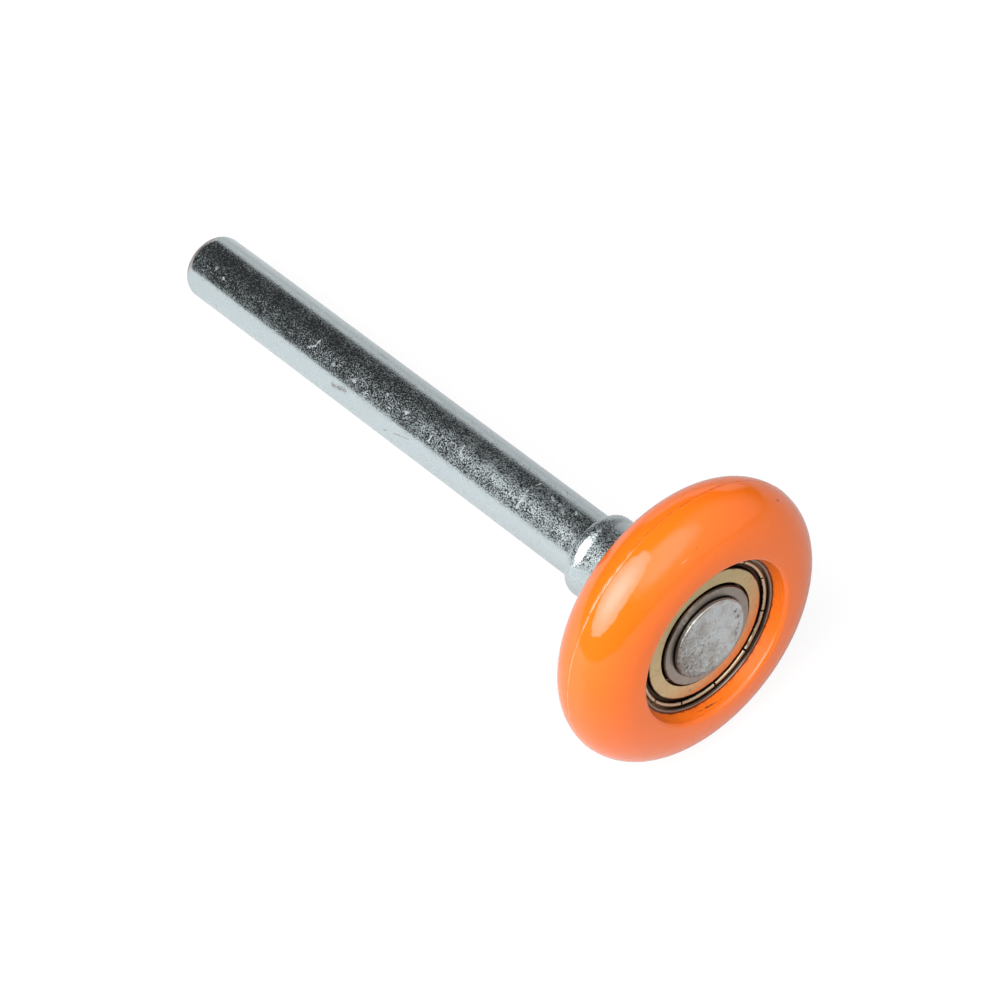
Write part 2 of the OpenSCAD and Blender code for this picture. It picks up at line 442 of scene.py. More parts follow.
# The tyre: one moulding over the bearing, with its sizes and then its finish
tyreValues = {
    "treadRadius": 23.745,
    "halfWidth": 6.775,
    "crownRadius": 15.25,
    "boreRadius": 15.0,
    "boreHalf": 4.5,
    "boreChamfer": 0.6,
    "mouthRadius": 13.5,
    "flare": 0.5,
    "lipRound": 0.7,
    "seamHeight": 0.055,
    "seamReach": 0.48,  # how far the parting line's finer mesh goes to each side
    "seamRidge": 0.03,
    "seamGroove": -0.105,
    "seamHalf": 0.09,  # half the width of its ridge, and of its groove
    "seamWander": 0.16,
    "around": 720,
    "crownSteps": 32,
    "seamSteps": 10,
    "colour": (0.95, 0.176, 0.01),
    "colourDeep": (0.9, 0.162, 0.009),
    "cloud": {"scale": 0.09},
    "roughness": 0.06,
    "hazeRoughness": 0.07,
    "haze": {"scale": 0.5, "detail": 4.0, "roughness": 0.6, "low": 0.35, "high": 0.75},
    "ior": 1.5,
    "gloss": 0.73,
    "glossTint": (0.95, 0.86, 1.0),
    "waves": {"scale": 0.32, "height": 0.06},
    "peel": {"scale": 0.8, "detail": 3.0, "roughness": 0.6, "height": 0.018},
    "grain": {"Size": 0.5, "Depth": 0.004},
    # The colour of dirt and scuffs, and of the patchy painted shade at the mouth's foot
    "dirtAndShade": (0.07, 0.03, 0.012),
    # The mouth, inside the lip, with turned lines and patchy painted shade at its foot
    "mouthGloss": 0.25,
    "mouthRoughness": 0.3,
    "mouthBand": {"low": 12.0, "high": 14.1, "soft": 0.12},
    "mouthLines": {"Size": 0.22, "Depth": 0.05},
    "mouthLine": (0.6, 0.11, 0.004),
    "mouthLineShare": 0.65,
    "footFade": {"low": 4.45, "high": 4.9, "start": 1.0, "end": 0.0},
    "footShade": {"scale": 0.9, "detail": 3.0, "roughness": 0.6, "low": 0.4, "high": 0.65},
    "footShadeShare": 0.75,
    # Specks all over, and single marks, each on its own radius
    "dirt": {"Spacing": 7.0, "Size": 0.14, "Share": 0.22},
    "dirtShare": 0.7,
    "paleSpecks": {"Spacing": 5.3, "Size": 0.1, "Share": 0.3},
    "paleSpeck": (1.0, 0.5, 0.25),
    "paleShare": 0.4,
    "scuffRadius": 13.8,
    "scuffs": [
        (-11.1, 5.37, -4.9, 5.52, 0.14),
        (-4.9, 5.52, 2.0, 5.73, 0.09),
        (-18.0, 5.3, -13.0, 5.45, 0.05),
        (74.5, 4.7, 75.5, 4.75, 0.12),
    ],
    "scuffShare": 0.85,
    "chipRadius": 22.6,
    "chips": [(132.2, 3.35, 131.2, 3.38, 0.14), (121.0, 2.85, 120.2, 2.9, 0.06)],
    "nickRadius": 20.3,
    "nicks": [(-168.8, 5.39, -173.9, 5.61, 0.09)],
    "nickShare": 0.42,
    "nickRoughness": 0.3,
    # The parting line's two stripes: a dark line, partly its own colour and partly
    # painted shade, fainter towards -Y where the lamp is, and a painted highlight
    # on its ridge that shows only there
    "treadFrom": 22.0,
    "seamBreaks": {
        "scale": 0.8, "detail": 3.0, "roughness": 0.7, "low": 0.38, "high": 0.56, "start": 0.15,
    },
    # The dark stripe: partly the line's own colour, partly painted shade away from the lamp
    "seamShade": (0.45, 0.05, 0.008),
    "seamShadeBand": {"low": -0.19, "high": -0.04, "soft": 0.05},
    "seamShadeFade": {"low": -11.0, "high": -5.0, "start": 0.25, "end": 1.0},
    "seamShadeShare": 0.75,
    # The pale stripe: a painted highlight on the ridge, towards the lamp
    "seamHighlight": (1.0, 0.42, 0.2),
    "seamHighlightBand": {"low": -0.02, "high": 0.14, "soft": 0.06},
    "seamHighlightFade": {"low": -11.0, "high": -5.0, "start": 1.0, "end": 0.0},
    "seamHighlightShare": 0.6,
}


def tyreSection(values):
    crown = values["treadRadius"] - values["seamHeight"] - values["crownRadius"]
    lipX = values["mouthRadius"] + values["flare"] + values["lipRound"]
    lipZ = values["halfWidth"] - values["lipRound"]
    half = [(values["boreRadius"], values["boreHalf"] - values["boreChamfer"])]
    half += straight(half[0], (values["boreRadius"] - values["boreChamfer"], values["boreHalf"]), 1)
    half += straight(half[-1], (values["mouthRadius"], values["boreHalf"]), 2)
    half += straight(half[-1], (lipX - values["lipRound"], lipZ), 4)
    half += arcPoints(lipX, lipZ, values["lipRound"], 180, 90, 8)[1:]
    half += straight(half[-1], (values["crownRadius"], values["halfWidth"]), 2)
    # The crown, in even steps down to the parting line and finer ones across it
    reach = values["seamReach"] / values["halfWidth"]
    flat = math.degrees(math.asin(reach))
    even, fine = values["crownSteps"], values["seamSteps"]
    turns = [math.radians(90 - (90 - flat) * i / even) for i in range(1, even + 1)]
    turns += [math.asin(reach * i / fine) for i in range(fine - 1, 0, -1)]
    for turn in turns:
        radius = values["crownRadius"] + crown * math.cos(turn)
        half.append((radius, values["halfWidth"] * math.sin(turn)))
    back = [(r, -z) for r, z in reversed(half)]
    return half + [(values["crownRadius"] + crown, 0.0)] + back


# A smooth rise from 0 to 1 and back, half wide to each side of its middle
def hump(place, middle, half):
    return max(0.0, 1 - ((place - middle) / half) ** 2)


# The parting line: a thin ragged ridge with a groove behind it, wandering a little
def tyreShape(radius, turn, along):
    values = tyreValues
    if radius < values["treadRadius"] - 1.0:
        return radius, along
    spot = Vector((math.cos(turn), math.sin(turn), 0.3))
    wander = noise.noise(spot * 3.1) + 0.25 * noise.noise(spot * 23.0)
    near = max(0.0, 1 - abs(along) / values["seamReach"])
    ridge = hump(along, values["seamRidge"], values["seamHalf"])
    groove = hump(along, values["seamGroove"], values["seamHalf"])
    ragged = 0.62 + 0.8 * noise.noise(spot * 19.0) + 0.8 * noise.noise(spot * 67.0)
    ragged = min(1.0, max(0.05, ragged))
    lift = values["seamHeight"] * ragged * (ridge - 0.9 * groove)
    return radius + lift, along + values["seamWander"] * wander * near ** 0.5


# Notes on each point how far along the tread it was drawn, for the finish
def noteSeam(piece, profile, steps):
    seam = piece.data.attributes.new("seamPlace", "FLOAT", "POINT")
    seam.data.foreach_set("value", [along for _, along in profile for _ in range(steps)])


def orangeNylon(name, values, gloss):
    material, tree, shader = newMaterial(name)
    where = useGroup(tree, axlePlace)
    place, radius, along, side = where["Place"], where["Radius"], where["Along"], where["Side"]
    cloud = noiseOf(tree, place, **values["cloud"])
    colour = blendColours(tree, cloud, values["colour"], values["colourDeep"])
    # The mouth's turned lines, and the patchy painted shade at its foot
    inMouth = band(tree, radius, **values["mouthBand"])
    turned = useGroup(
        tree, turnedLines, Place=place, Radius=radius, Along=along, **values["mouthLines"]
    )
    lined = times(tree, turned["Mask"], inMouth)
    colour = layOver(tree, colour, lined, values["mouthLineShare"], values["mouthLine"])
    foot = times(tree, inMouth, ease(tree, along, **values["footFade"]))
    # Patchy painted shade at the wall's foot, where it meets the bearing
    footShade = times(tree, patchy(tree, place, **values["footShade"]), foot)
    colour = layOver(tree, colour, footShade, values["footShadeShare"], values["dirtAndShade"])
    # Specks, scuffs, chips and nicks
    dirt = useGroup(tree, specks, Place=place, **values["dirt"])["Mask"]
    colour = layOver(tree, colour, dirt, values["dirtShare"], values["dirtAndShade"])
    pale = useGroup(tree, specks, Place=place, **values["paleSpecks"])["Mask"]
    colour = layOver(tree, colour, pale, values["paleShare"], values["paleSpeck"])
    scuffed = marksOn(tree, place, values["scuffRadius"], values["scuffs"])
    chipped = marksOn(tree, place, values["chipRadius"], values["chips"])
    rubbed = strongest(tree, scuffed, chipped)
    colour = layOver(tree, colour, rubbed, values["scuffShare"], values["dirtAndShade"])
    nicked = marksOn(tree, place, values["nickRadius"], values["nicks"])
    colour = layOver(tree, colour, nicked, values["nickShare"], values["paleSpeck"])
    # The parting line's dark stripe, partly painted shade, and its painted highlight
    seam = addNode(tree, "ShaderNodeAttribute", attribute_name="seamPlace").outputs["Fac"]
    onTread = maths(tree, "GREATER_THAN", radius, values["treadFrom"])
    broken = times(tree, patchy(tree, place, **values["seamBreaks"]), onTread)
    for stripe in ("seamShade", "seamHighlight"):
        line = times(tree, band(tree, seam, **values[stripe + "Band"]), broken)
        line = times(tree, line, ease(tree, side, **values[stripe + "Fade"]))
        colour = layOver(tree, colour, line, values[stripe + "Share"], values[stripe])
    shader.inputs["IOR"].default_value = values["ior"]
    shader.inputs["Specular IOR Level"].default_value = gloss
    shader.inputs["Specular Tint"].default_value = (*values["glossTint"], 1.0)
    hazed = times(tree, patchy(tree, place, **values["haze"]), values["hazeRoughness"])
    rough = addUp(
        tree,
        hazed,
        values["roughness"],
        times(tree, nicked, values["nickRoughness"]),
        times(tree, inMouth, values["mouthRoughness"]),
    )
    height = addUp(
        tree,
        times(tree, turned["Height"], inMouth),
        swell(tree, place, **values["waves"]),
        swell(tree, place, **values["peel"]),
        useGroup(tree, pitting, Place=place, **values["grain"])["Height"],
    )
    wireUp(tree, shader, colour, rough, height, 0.0)
    return material


tyre = turnPiece("tyre_moulding", tyreSection(tyreValues), tyreValues["around"], True, tyreShape)
noteSeam(tyre, tyreSection(tyreValues), tyreValues["around"])
tyre.data.materials.append(orangeNylon("orangeNylon", tyreValues, tyreValues["gloss"]))
tyre.data.materials.append(orangeNylon("orangeMouth", tyreValues, tyreValues["mouthGloss"]))
for face in tyre.data.polygons:
    offset = face.center - axleCentre
    radius = (offset - offset.dot(axleWay) * axleWay).length / mm
    if radius < tyreValues["mouthRadius"] + tyreValues["flare"]:
        face.material_index = 1
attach(tyre, "wheel")
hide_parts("tyre")
print("tyre made")


# The stem: one headed bar, with its sizes, its plate and its struck head
stemValues = {
    "shankRadius": 5.496,
    "tail": -113.295,
    "tailRound": 2.0,
    "collarStart": -19.7,
    "crestRadius": 6.997,
    "shoulder": 1.4,
    "shoulderPower": 3.0,
    "beadFall": 0.26,
    "beadRun": 1.6,
    "journalRadius": 5.0,
    "ringFace": 4.5,
    "headRadius": 6.745,
    "headTop": 5.395,
    "headRound": 0.3,
    "undercut": 0.15,
    "around": 180,
    "shankSteps": 280,
    "topSteps": 60,
    # How many dings the shank has, and their ranges
    "dings": 24,
    "dingAlong": (-110, -24),
    "dingReach": (0.35, 1.0),
    "dingDepth": (0.008, 0.03),
    "waviness": 0.01,
    # The struck top: a burr at the rim, a low ring and an uneven middle
    "burrHeight": 0.05,
    "burrWidth": 0.13,
    "lowRingRadius": 5.75,
    "lowRingWidth": 0.3,
    "lowRingDepth": 0.035,
    "middleDepth": 0.03,
    "middleEdge": 0.8,
    "plate": {
        "colour": (0.625, 0.7, 0.72),
        "colourWarm": (0.59, 0.655, 0.67),
        "cloud": {"scale": 0.3, "detail": 3.0, "roughness": 0.6},
        "stain": (0.3, 0.28, 0.26),
        "stains": {
            "scale": 0.8, "detail": 4.0, "roughness": 0.65, "distortion": 0.6,
            "low": 0.67, "high": 0.77,
        },
        "stainShare": 0.3,
        "dots": {"Spacing": 1.5, "Size": 0.13, "Share": 0.22},
        "dotShare": 0.45,
        # The brown tint on the tail's upper edge
        "tailTint": (0.36, 0.19, 0.08),
        "tailUpper": {"low": -3.0, "high": -1.0, "start": 1.0, "end": 0.0},
        "tailFade": {"low": -112.7, "high": -111.35, "start": 0.92, "end": 0.0},
        "tailWear": {
            "scale": 0.7, "detail": 4.0, "roughness": 0.7, "low": 0.36, "high": 0.56, "start": 0.5,
        },
        "tailRoughness": 0.4,
        # A haze of dull spots, growing towards the wheel, with one duller stripe
        "roughness": 0.07,
        "cloudRoughness": 0.03,
        "hazeSpots": {"scale": 5.0, "roughness": 0.6},
        "hazePatches": {"scale": 0.45, "height": 0.17},
        "hazeRise": {"low": -110.0, "high": -30.0, "start": 0.0, "end": 0.035},
        "stripeBand": {"low": -3.2, "high": 0.1, "soft": 0.7},
        "stripeStart": {"low": -60.0, "high": -40.0, "start": 0.0, "end": 0.055},
        "stripeEnd": {"low": -21.5, "high": -20.0, "start": 1.0, "end": 0.0},
        "spotFade": {"low": 0.42, "high": 0.74},
        "spotRoughness": 0.4,
        # Pitting where the haze lies, and drawn and turned lines
        "pits": {"Size": 0.26, "Depth": 0.075},
        "pitRise": {"low": -105.0, "high": -40.0, "start": 0.5, "end": 0.8},
        "pitLeast": 0.25,
        "drawnLines": {"Size": 0.2, "Run": 9.0, "Depth": 0.007},
        "turnedLines": {"Size": 0.3, "Depth": 0.007},
        "lineRise": {"low": -50.0, "high": -24.0, "start": 0.0, "end": 1.6},
        # What the collar has on top of that
        "collarFade": {"low": -20.6, "high": -19.4},
        "collarRoughness": 0.07,
        "collarPits": 0.3,
        "collarLines": 2.5,
        # Single marks on the shank
        "markRadius": 5.5,
        "stainMarkShare": 0.8,
        "scoreRoughness": 0.42,
        "scoreHeight": 0.05,
        "scores": [
            (-133, -32.6, -149, -32.6, 0.2),
            (-149, -32.6, -166, -32.8, 0.13),
            (-166, -32.8, -189, -32.3, 0.08),
            (-163, -47.0, -150, -46.9, 0.13),
            (-150, -46.9, -144, -45.9, 0.15),
            (-184, -23.9, -183, -23.6, 0.2),
            (-179, -27.0, -178, -26.8, 0.17),
            (179, -28.9, 183, -28.1, 0.14),
            (-173, -25.9, -169, -25.1, 0.14),
            (-150, -39.4, -148, -39.2, 0.2),
            (-145, -52.9, -133, -53.1, 0.13),
            (-149, -59.6, -148, -59.4, 0.2),
            (-140, -71.4, -139, -71.2, 0.22),
            (-135, -68.2, -134, -68.0, 0.14),
            (-155, -64.5, -154, -64.3, 0.16),
            (-140, -76.4, -139, -76.2, 0.18),
            (-138, -82.5, -147, -81.4, 0.13),
            (-147, -81.4, -159, -81.3, 0.09),
            (-153, -106.9, -150, -106.6, 0.11),
            (-145, -104.5, -144, -104.3, 0.16),
        ],
        "stainMarks": [
            (-95, -62.8, -100, -61.8, 0.1),
            (-105, -60.2, -113, -57.0, 0.09),
            (-108, -75.2, -115, -72.3, 0.4),
            (144, -77.2, 145, -77.0, 0.15),
            (151, -71.9, 151, -70.7, 0.1),
            (171, -95.5, 160, -95.5, 0.12),
            (151, -28.5, 152, -28.3, 0.15),
        ],
    },
    "head": {
        "colour": (0.71, 0.76, 0.765),
        "colourWarm": (0.65, 0.67, 0.65),
        "cloud": {"scale": 0.28, "detail": 3.0, "roughness": 0.6},
        "warmFade": {"low": 0.4, "high": 0.6},
        "topFade": {"low": 5.15, "high": 5.3},
        # Where the wall's foot is painted dark as shade
        "footFade": {"low": 4.65, "high": 4.95, "start": 1.0, "end": 0.0},
        # Haze and patina, both heavier along patinaWay
        "patinaWay": (0.35, -0.94, 0.0),
        "patinaLean": 0.021,
        "haze": (0.42, 0.39, 0.35),
        "hazeNoise": {"scale": 0.5, "detail": 3.0, "roughness": 0.6},
        "hazeFade": {"low": 0.4, "high": 0.66},
        "hazeShare": 0.55,
        "patina": (0.165, 0.135, 0.1),
        "patinaNoise": {"scale": 2.2, "detail": 6.0, "roughness": 0.8},
        "patinaFade": {"low": 0.46, "high": 0.72},
        "patinaShare": 0.78,
        # Dark pocks, in an arc near the rim and loose along patinaWay
        # The colour of the pocks and the wall's stripes, and of the painted shade at its foot
        "pockAndShade": (0.05, 0.042, 0.036),
        "pocks": {"Spacing": 0.75, "Size": 0.36, "Share": 0.75},
        "pockBand": {"low": 5.0, "high": 5.85, "soft": 0.15},
        "pockSide": {"low": 3.0, "high": 4.2},
        "loosePocks": {"Spacing": 1.0, "Size": 0.22, "Share": 0.4},
        "looseFade": {"low": -1.0, "high": 2.5},
        "pockShare": 0.95,
        "pockDepth": 0.08,
        # Stripes round the wall, and arcs on the top's outer part
        "wallShare": 0.5,
        "wallStripes": {"Size": 0.16, "Depth": 0.02},
        "wallStripeShare": 0.85,
        "arcs": {"Size": 0.35, "Depth": 0.05},
        "arcFade": {"low": 4.8, "high": 5.6},
        "arcShare": 0.4,
        "roughness": 0.26,
        "grownFade": {"low": 0.35, "high": 0.65},
        "grownRoughness": 0.18,
        "rimFade": {"low": 6.35, "high": 6.6},
        "rimPatches": {"low": 0.35, "high": 0.6},
        "rimRoughness": 0.25,
        "grain": {"Size": 0.4, "Depth": 0.05},
    },
}


def stemSection(values):
    shank, tail = values["shankRadius"], values["tail"]
    core = shank - values["tailRound"]
    points = [(0.0, tail)] + straight((0.0, tail), (core, tail), 10)
    points += arcPoints(core, tail + values["tailRound"], values["tailRound"], -90, 0, 14)[1:]
    points += straight(points[-1], (shank, values["collarStart"]), values["shankSteps"])
    # The collar: a rounded shoulder, and a bead that falls away behind its crest
    rise = values["crestRadius"] - shank
    power = 2 / values["shoulderPower"]
    for i in range(1, 25):
        t = math.radians(90 * i / 24)
        up, over = math.sin(t) ** power, 1 - math.cos(t) ** power
        points.append((shank + rise * up, values["collarStart"] + values["shoulder"] * over))
    crest = values["collarStart"] + values["shoulder"]
    for i in range(1, 19):
        fall = values["beadFall"] * (1 - math.cos(math.pi * i / 18)) / 2
        points.append((values["crestRadius"] - fall, crest + values["beadRun"] * i / 18))
    points += straight(points[-1], (points[-1][0], -values["ringFace"]), 30)
    # The journal through the inner ring, and the head over the ring's face
    points += straight(points[-1], (values["journalRadius"], -values["ringFace"]), 2)
    points += straight(points[-1], (values["journalRadius"], values["ringFace"]), 2)
    neck = values["headRadius"] - values["undercut"]
    points += straight(points[-1], (neck, values["ringFace"]), 2)
    points.append((values["headRadius"], values["ringFace"] + values["undercut"]))
    rim = values["headRadius"] - values["headRound"]
    points += arcPoints(rim, values["headTop"] - values["headRound"], values["headRound"], 0, 90, 8)
    points += straight(points[-1], (0.0, values["headTop"]), values["topSteps"])
    return points


# Each ding's turn, place along the shank, reach and depth
stemDings = [
    (
        random.uniform(0, 2 * math.pi),
        random.uniform(*stemValues["dingAlong"]),
        random.uniform(*stemValues["dingReach"]),
        random.uniform(*stemValues["dingDepth"]),
    )
    for _ in range(stemValues["dings"])
]


# How far the struck top lies under the head's full height
def headTopDip(values, radius, turn):
    rim = values["headRadius"] - values["headRound"]
    spot = Vector((radius * math.cos(turn), radius * math.sin(turn), 0.0))
    burr = math.exp(-(((radius - rim) / values["burrWidth"]) ** 2))
    lowRing = math.exp(-(((radius - values["lowRingRadius"]) / values["lowRingWidth"]) ** 2))
    lowRing *= 0.35 + 0.65 * max(0.0, math.cos(turn - 0.35))  # deeper on one side
    uneven = 0.035 * noise.noise(spot * 0.5) + 0.016 * noise.noise(spot * 1.9)
    inside = min(1.0, max(0.0, (rim - radius) / values["middleEdge"]))
    dip = values["burrHeight"] * (1 - burr) + values["lowRingDepth"] * lowRing
    return dip + (values["middleDepth"] + uneven) * inside


# Shallow dings and a slight waviness on the shank
def stemShape(radius, turn, along):
    values = stemValues
    if along > values["headTop"] - 0.01 and radius < values["headRadius"] - 0.25:
        return radius, along - headTopDip(values, radius, turn)
    if values["tail"] + values["tailRound"] < along < values["collarStart"] - 0.5:
        dip = 0.0
        for dingTurn, dingAlong, reach, depth in stemDings:
            if abs(along - dingAlong) < reach * 2:
                across = math.remainder(turn - dingTurn, 2 * math.pi) * radius
                far = (across * across + (along - dingAlong) ** 2) / (reach * reach)
                dip += depth * math.exp(-far * 2.5)
        spot = Vector((math.cos(turn) * 1.2, math.sin(turn) * 1.2, along * 0.13))
        return radius - dip - abs(values["waviness"] * noise.noise(spot)), along
    return radius, along


def zincPlate(values):
    material, tree, shader = newMaterial("zincPlate")
    where = useGroup(tree, axlePlace)
    place, along = where["Place"], where["Along"]
    cloud = noiseOf(tree, place, **values["cloud"])
    colour = blendColours(tree, cloud, values["colour"], values["colourWarm"])
    stains = patchy(tree, place, **values["stains"])
    colour = layOver(tree, colour, stains, values["stainShare"], values["stain"])
    dots = useGroup(tree, specks, Place=place, **values["dots"])["Mask"]
    colour = layOver(tree, colour, dots, values["dotShare"], values["stain"])
    marked = marksOn(tree, place, values["markRadius"], values["stainMarks"])
    colour = layOver(tree, colour, marked, values["stainMarkShare"], values["stain"])
    tail = times(
        tree,
        ease(tree, where["Down"], **values["tailUpper"]),
        ease(tree, along, **values["tailFade"]),
        patchy(tree, place, **values["tailWear"]),
    )
    colour = blendColours(tree, tail, colour, values["tailTint"])
    # A haze of dull spots, with a duller stripe
    stripe = times(
        tree,
        band(tree, where["Side"], **values["stripeBand"]),
        ease(tree, along, **values["stripeStart"]),
        ease(tree, along, **values["stripeEnd"]),
    )
    haze = addUp(
        tree,
        noiseOf(tree, place, **values["hazeSpots"]),
        swell(tree, place, **values["hazePatches"]),
        ease(tree, along, **values["hazeRise"]),
        stripe,
    )
    spots = ease(tree, haze, **values["spotFade"])
    scored = marksOn(tree, place, values["markRadius"], values["scores"])
    spotted = times(tree, spots, values["spotRoughness"])
    scoredRough = times(tree, scored, values["scoreRoughness"])
    onCollar = ease(tree, along, **values["collarFade"])
    base = values["roughness"]
    rough = addUp(
        tree,
        ease(tree, cloud, low=0.3, high=0.7, start=base, end=base + values["cloudRoughness"]),
        times(tree, tail, values["tailRoughness"]),
        strongest(tree, spotted, scoredRough),
        times(tree, onCollar, values["collarRoughness"]),
    )
    # Pits, lines and the scores' raised edges
    share = ease(tree, along, **values["pitRise"])
    share = addUp(tree, share, times(tree, onCollar, values["collarPits"]))
    share = times(tree, share, addUp(tree, spots, values["pitLeast"]))
    pits = useGroup(tree, pitting, Place=place, **values["pits"])["Height"]
    drawn = useGroup(tree, drawnLines, Place=place, **values["drawnLines"])["Height"]
    turned = useGroup(tree, turnedLines, Place=place, Along=along, **values["turnedLines"])["Height"]
    nearWheel = ease(tree, along, **values["lineRise"])
    nearWheel = addUp(tree, nearWheel, times(tree, onCollar, values["collarLines"]))
    height = addUp(
        tree,
        times(tree, pits, share),
        drawn,
        times(tree, addUp(tree, drawn, turned), nearWheel),
        times(tree, scored, values["scoreHeight"]),
    )
    wireUp(tree, shader, colour, rough, height, 1.0)
    return material


def struckHead(values):
    material, tree, shader = newMaterial("struckHead")
    where = useGroup(tree, axlePlace)
    place, radius, along = where["Place"], where["Radius"], where["Along"]
    onTop = ease(tree, along, **values["topFade"])
    onWall = maths(tree, "SUBTRACT", 1.0, onTop)
    cloud = noiseOf(tree, place, **values["cloud"])
    warm = ease(tree, cloud, **values["warmFade"])
    colour = blendColours(tree, warm, values["colour"], values["colourWarm"])
    lean = vectorMaths(tree, "DOT_PRODUCT", place, values["patinaWay"])
    leant = times(tree, lean, values["patinaLean"])
    haze = addUp(tree, noiseOf(tree, place, **values["hazeNoise"]), leant)
    haze = ease(tree, haze, **values["hazeFade"])
    colour = layOver(tree, colour, haze, values["hazeShare"], values["haze"])
    grown = noiseOf(tree, place, **values["patinaNoise"])
    patina = ease(tree, addUp(tree, grown, leant), **values["patinaFade"])
    colour = layOver(tree, colour, patina, values["patinaShare"], values["patina"])
    # Pocks on the top
    pocks = useGroup(tree, specks, Place=place, **values["pocks"])["Mask"]
    pocks = times(tree, pocks, band(tree, radius, **values["pockBand"]))
    pocks = times(tree, pocks, ease(tree, where["Side"], **values["pockSide"]))
    loose = useGroup(tree, specks, Place=place, **values["loosePocks"])["Mask"]
    loose = times(tree, loose, ease(tree, lean, **values["looseFade"]))
    pocks = times(tree, strongest(tree, pocks, loose), onTop)
    colour = layOver(tree, colour, pocks, values["pockShare"], values["pockAndShade"])
    # The wall's stripes, its foot painted dark as shade where it meets the ring, and the top's arcs
    stripes = useGroup(tree, turnedLines, Place=place, Along=along, **values["wallStripes"])
    striped = times(tree, stripes["Mask"], onWall)
    colour = layOver(tree, colour, onWall, values["wallShare"], values["patina"])
    colour = layOver(tree, colour, striped, values["wallStripeShare"], values["pockAndShade"])
    # Painted shade at the wall's foot, over the ring's face
    foot = ease(tree, along, **values["footFade"])
    colour = blendColours(tree, foot, colour, values["pockAndShade"])
    arcs = useGroup(tree, turnedLines, Place=place, Radius=radius, **values["arcs"])
    outer = ease(tree, radius, **values["arcFade"])
    arcLines = times(tree, arcs["Mask"], outer, onTop)
    colour = layOver(tree, colour, arcLines, values["arcShare"], values["patina"])
    onRim = ease(tree, radius, **values["rimFade"])
    onRim = times(tree, onRim, ease(tree, cloud, **values["rimPatches"]))
    grownRough = times(tree, ease(tree, grown, **values["grownFade"]), values["grownRoughness"])
    rimRough = times(tree, onRim, values["rimRoughness"])
    rough = addUp(tree, grownRough, values["roughness"], rimRough)
    height = addUp(
        tree,
        useGroup(tree, pitting, Place=place, **values["grain"])["Height"],
        times(tree, arcs["Height"], outer),
        times(tree, pocks, -values["pockDepth"]),
    )
    wireUp(tree, shader, colour, rough, height, 1.0)
    return material


stem = turnPiece("stem_turned", stemSection(stemValues), stemValues["around"], False, stemShape)
stem.data.materials.append(zincPlate(stemValues["plate"]))
stem.data.materials.append(struckHead(stemValues["head"]))
for face in stem.data.polygons:
    if (face.center - axleCentre).dot(axleWay) > (stemValues["ringFace"] - 0.01) * mm:
        face.material_index = 1
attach(stem, "axle")
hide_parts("stem")
print("stem made")


# The bearing: what its steels share, and then each piece's own values.
# The bands are painted: shade in the gaps, and a highlight on the shield's rim.
# Each gives the inner and outer radius, softness, share and colour of a band
bearingValues = {
    "cloud": {"scale": 0.8, "detail": 4.0, "roughness": 0.65},
    "cloudFade": {"low": 0.3, "high": 0.7},
    "cloudRoughness": 0.12,
    "blotches": {"scale": 1.6, "detail": 4.0, "roughness": 0.6, "low": 0.56, "high": 0.72},
    "blotchShare": 0.5,
    "motes": {"Spacing": 1.3, "Size": 0.13, "Share": 0.3},
    "moteShare": 0.5,
    "bandRaggedness": 0.25,
}
ringValues = dict(
    bearingValues,
    colour=(0.42, 0.375, 0.33),
    colourDark=(0.36, 0.315, 0.27),
    blotch=(0.22, 0.18, 0.14),
    # Painted shade deep inside the bearing
    dirtAndShade=(0.03, 0.018, 0.01),
    shadeAndHighlightBands=[
        # Painted shade: by the head's foot, in the gaps to the shield and the crimp, and under the
        # tyre's mouth
        (6.0, 6.95, 0.1, 0.85, (0.04, 0.028, 0.02)),
        (8.38, 9.0, 0.04, 0.9, (0.09, 0.045, 0.02)),
        (13.2, 15.1, 0.12, 0.8, (0.06, 0.03, 0.015)),
        (12.6, 12.98, 0.05, 0.8, (0.05, 0.035, 0.025)),
    ],
    # How deep inside the painted shade begins
    deepShadeFade={"low": 3.3, "high": 4.2, "start": 1.0, "end": 0.0},
    roughness=0.27,
    turnedLines={"Size": 0.14, "Depth": 0.008},
    pits={"Size": 0.3, "Depth": 0.012},
)
shieldValues = dict(
    bearingValues,
    colour=(0.74, 0.58, 0.32),
    colourDark=(0.66, 0.51, 0.27),
    blotch=(0.4, 0.32, 0.18),
    # Painted shade deep inside the bearing
    dirtAndShade=(0.03, 0.014, 0.006),
    shadeAndHighlightBands=[
        # Painted shade in the channel between the flat and the rim
        (11.1, 12.02, 0.07, 0.95, (0.035, 0.016, 0.008)),
        # A paler band on the crimped rim: painted highlight
        (12.02, 12.6, 0.06, 0.8, (0.66, 0.58, 0.43)),
    ],
    deepShadeFade={"low": 3.6, "high": 3.8, "start": 1.0, "end": 0.0},
    roughness=0.28,
    turnedLines={"Size": 0.14, "Depth": 0.004},
    pits={"Size": 0.3, "Depth": 0.018},
)
cageValues = dict(
    ringValues,
    colour=(0.2, 0.18, 0.16),
    colourDark=(0.14, 0.12, 0.1),
    shadeAndHighlightBands=[],
    deepShadeFade={"low": -2.0, "high": -1.0, "start": 1.0, "end": 0.0},
)
ballValues = dict(
    cageValues,
    colour=(0.5, 0.5, 0.5),
    colourDark=(0.4, 0.4, 0.4),
    roughness=0.12,
)


